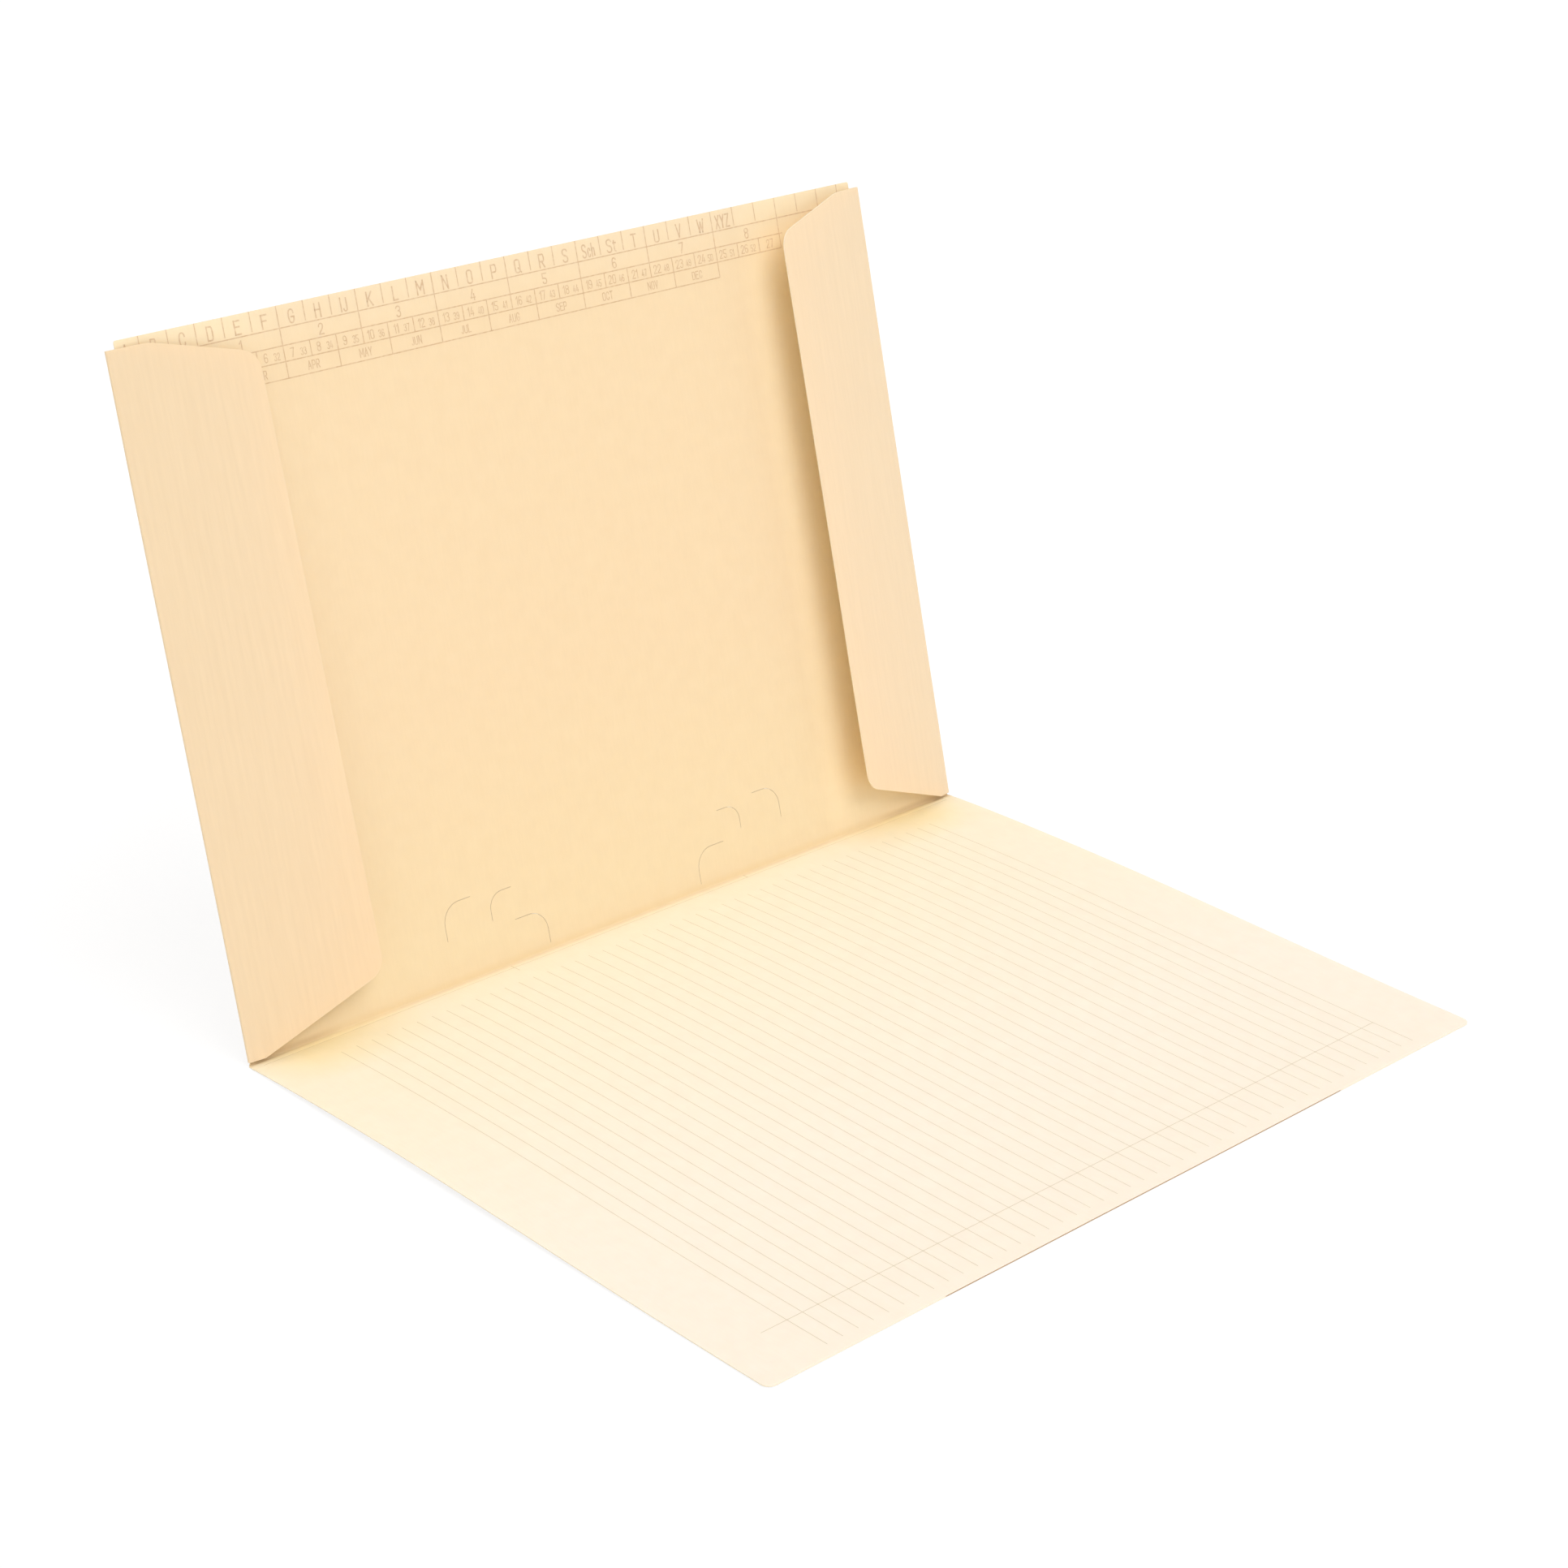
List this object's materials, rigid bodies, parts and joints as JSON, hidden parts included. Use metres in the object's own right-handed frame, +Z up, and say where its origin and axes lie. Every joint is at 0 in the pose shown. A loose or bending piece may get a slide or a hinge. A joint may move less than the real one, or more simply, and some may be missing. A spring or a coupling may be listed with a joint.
{
  "type": "organizer folder",
  "caption": "Manila card document folder standing open, with side flaps folded in, die-cut corner slits, a printed index tab and a ruled inside cover.",
  "frame": {"origin": "middle of the footprint, on the table that the cover lies on", "axes": "+X along the main fold towards the right-hand flap as seen from the cover's side, +Y from the cover's front edge towards the main fold and the back panel, +Z up"},
  "size_m": [0.32, 0.2998, 0.2229],
  "materials": {
    "manila_card": "matt uncoated manila board",
    "printing_ink": "grey-brown printing ink of the index table and the ruled lines, soaked into the board's inner face"
  },
  "bodies": {
    "root": {"folder_card": "manila_card", "left_flap": "manila_card", "right_flap": "manila_card"}
  },
  "joints": []
}
